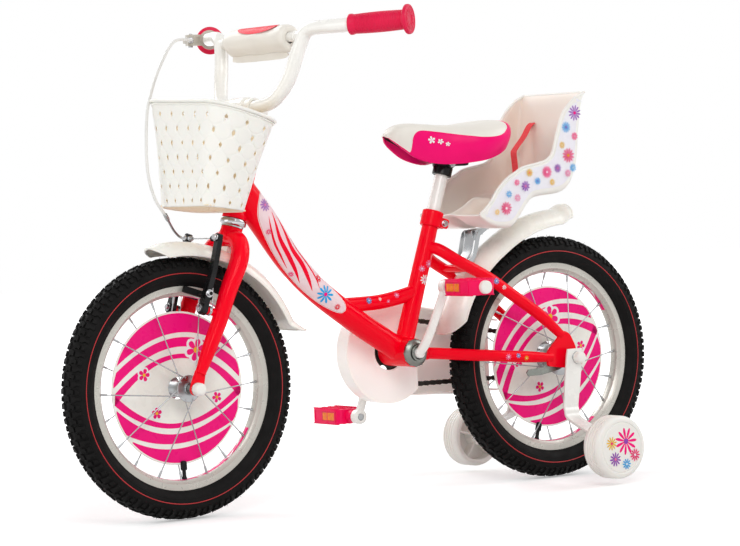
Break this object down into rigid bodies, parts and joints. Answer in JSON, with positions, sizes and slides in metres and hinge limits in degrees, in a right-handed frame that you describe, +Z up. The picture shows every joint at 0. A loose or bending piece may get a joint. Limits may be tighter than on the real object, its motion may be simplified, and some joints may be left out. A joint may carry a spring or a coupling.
{
  "type": "child's bicycle with training wheels",
  "caption": "Small step-through child's bicycle with training wheels, front basket, fenders, chain guard and a doll seat behind the saddle.",
  "frame": {"origin": "on the ground, midway between the wheel axles in length and on the bicycle's centre plane", "axes": "+X forward from the rear axle to the front axle, +Y to the rider's left, +Z up"},
  "size_m": [1.1406, 0.5826, 0.7751],
  "materials": {
    "red_paint": "gloss",
    "cream_paint": "gloss",
    "cream_plastic": "satin",
    "pink_plastic": "satin",
    "saddle_cover": "satin vinyl",
    "pad_cover": "satin vinyl",
    "chrome": "polished",
    "steel": "satin",
    "alloy": "satin",
    "black_metal": "satin",
    "dark_steel": "oiled",
    "black_plastic": "matt",
    "tyre_rubber": "matt",
    "pad_rubber": "matt",
    "red_strap": "woven",
    "cable_cover": "satin"
  },
  "bodies": {
    "frame_assembly": {"frame": "red_paint", "headset_lower_cup": "chrome", "headset_upper_cup": "chrome", "seat_clamp": "red_paint", "bb_cup_left": "chrome", "bb_cup_right": "chrome", "chain_guard": "cream_plastic", "chain": "dark_steel", "rear_fender": "cream_plastic", "rear_axle": "steel", "rear_nut_left": "chrome", "rear_nut_right": "chrome", "rear_spacer_left": "steel", "rear_spacer_right": "steel", "coaster_arm": "steel", "trainer_bracket_left": "cream_paint", "trainer_bracket_right": "cream_paint", "doll_seat": "cream_plastic", "doll_seat_bracket": "cream_paint", "doll_seat_strap": "red_strap"},
    "fork_assembly": {"fork": "red_paint", "front_axle": "steel", "front_nut_left": "chrome", "front_nut_right": "chrome", "front_fender": "cream_plastic"},
    "front_wheel": {"front_tyre": "tyre_rubber", "front_rim": "alloy", "front_hub": "steel", "front_disc": "cream_plastic"},
    "rear_wheel": {"rear_tyre": "tyre_rubber", "rear_rim": "alloy", "rear_hub": "steel", "rear_disc": "cream_plastic"},
    "bars": {"stem": "cream_paint", "handlebar": "cream_paint", "handlebar_pad": "pad_cover", "grip_left": "pink_plastic", "grip_right": "pink_plastic", "brake_lever_mount": "cream_plastic", "brake_cable": "cable_cover", "basket": "cream_plastic"},
    "lever": {"brake_lever": "cream_plastic"},
    "brake_left": {"brake_arm_left": "black_metal", "brake_pad_left": "pad_rubber", "brake_wire": "steel"},
    "brake_right": {"brake_arm_right": "black_metal", "brake_pad_right": "pad_rubber", "brake_noodle": "steel"},
    "crankset": {"crank": "cream_paint", "chainring": "dark_steel", "pedal_spindle_left": "steel", "pedal_spindle_right": "steel"},
    "sprocket": {"rear_sprocket": "dark_steel"},
    "left_pedal": {"pedal_left": "pink_plastic"},
    "right_pedal": {"pedal_right": "pink_plastic"},
    "seat": {"seat_post": "cream_paint", "saddle": "saddle_cover", "saddle_clamp": "steel"},
    "left_trainer": {"trainer_wheel_left": "cream_plastic"},
    "right_trainer": {"trainer_wheel_right": "cream_plastic"}
  },
  "joints": [
    {"name": "steering", "type": "hinge", "parent": "frame_assembly", "child": "fork_assembly", "pos_m": [0.25298, 0, 0.4592], "axis": [-0.309, 0, 0.9511], "range_deg": [-60, 60]},
    {"name": "front_wheel_spin", "type": "hinge", "parent": "fork_assembly", "child": "front_wheel", "pos_m": [0.36735, 0, 0.203], "axis": [0, 1, 0], "continuous": true},
    {"name": "rear_wheel_spin", "type": "hinge", "parent": "frame_assembly", "child": "rear_wheel", "pos_m": [-0.36735, 0, 0.203], "axis": [0, 1, 0], "continuous": true},
    {"name": "stem_height", "type": "slide", "parent": "fork_assembly", "child": "bars", "axis": [-0.309, 0, 0.9511], "range_m": [0, 0.03], "deforming": ["brake_cable"]},
    {"name": "brake_lever_pull", "type": "hinge", "parent": "bars", "child": "lever", "pos_m": [0.18812, -0.20836, 0.74941], "axis": [-0.0175, -0.0268, -0.9995], "range_deg": [0, 10], "stiffness_Nm_per_rad": 0.6, "springref_deg": -11.46},
    {"name": "brake_arm_left_close", "type": "hinge", "parent": "fork_assembly", "child": "brake_left", "pos_m": [0.34611, 0.046, 0.32469], "axis": [0.9511, 0, 0.309], "range_deg": [0, 4.5], "deforming": ["brake_wire"]},
    {"name": "brake_arm_right_close", "type": "hinge", "parent": "fork_assembly", "child": "brake_right", "pos_m": [0.34611, -0.046, 0.32469], "axis": [-0.9511, 0, -0.309], "range_deg": [0, 4.5]},
    {"name": "crank_spin", "type": "hinge", "parent": "frame_assembly", "child": "crankset", "pos_m": [-0.06135, 0, 0.23], "axis": [0, 1, 0], "continuous": true, "deforming": ["chain"]},
    {"name": "sprocket_spin", "type": "hinge", "parent": "frame_assembly", "child": "sprocket", "pos_m": [-0.36735, 0, 0.203], "axis": [0, 1, 0], "continuous": true},
    {"name": "left_pedal_spin", "type": "hinge", "parent": "crankset", "child": "left_pedal", "pos_m": [-0.09929, 0.075, 0.33538], "axis": [0, 1, 0], "continuous": true},
    {"name": "right_pedal_spin", "type": "hinge", "parent": "crankset", "child": "right_pedal", "pos_m": [-0.02341, -0.075, 0.12462], "axis": [0, 1, 0], "continuous": true},
    {"name": "seat_height", "type": "slide", "parent": "frame_assembly", "child": "seat", "axis": [-0.314, 0, 0.9494], "range_m": [0, 0.06]},
    {"name": "left_trainer_spin", "type": "hinge", "parent": "frame_assembly", "child": "left_trainer", "pos_m": [-0.34335, 0.17, 0.0615], "axis": [0, 1, 0], "continuous": true},
    {"name": "right_trainer_spin", "type": "hinge", "parent": "frame_assembly", "child": "right_trainer", "pos_m": [-0.34335, -0.17, 0.0615], "axis": [0, 1, 0], "continuous": true}
  ],
  "couplings": [
    {"joint": "brake_arm_left_close", "follows": "brake_lever_pull", "ratio": 0.45},
    {"joint": "brake_arm_right_close", "follows": "brake_lever_pull", "ratio": 0.45},
    {"joint": "sprocket_spin", "follows": "crank_spin", "ratio": 1.75}
  ]
}
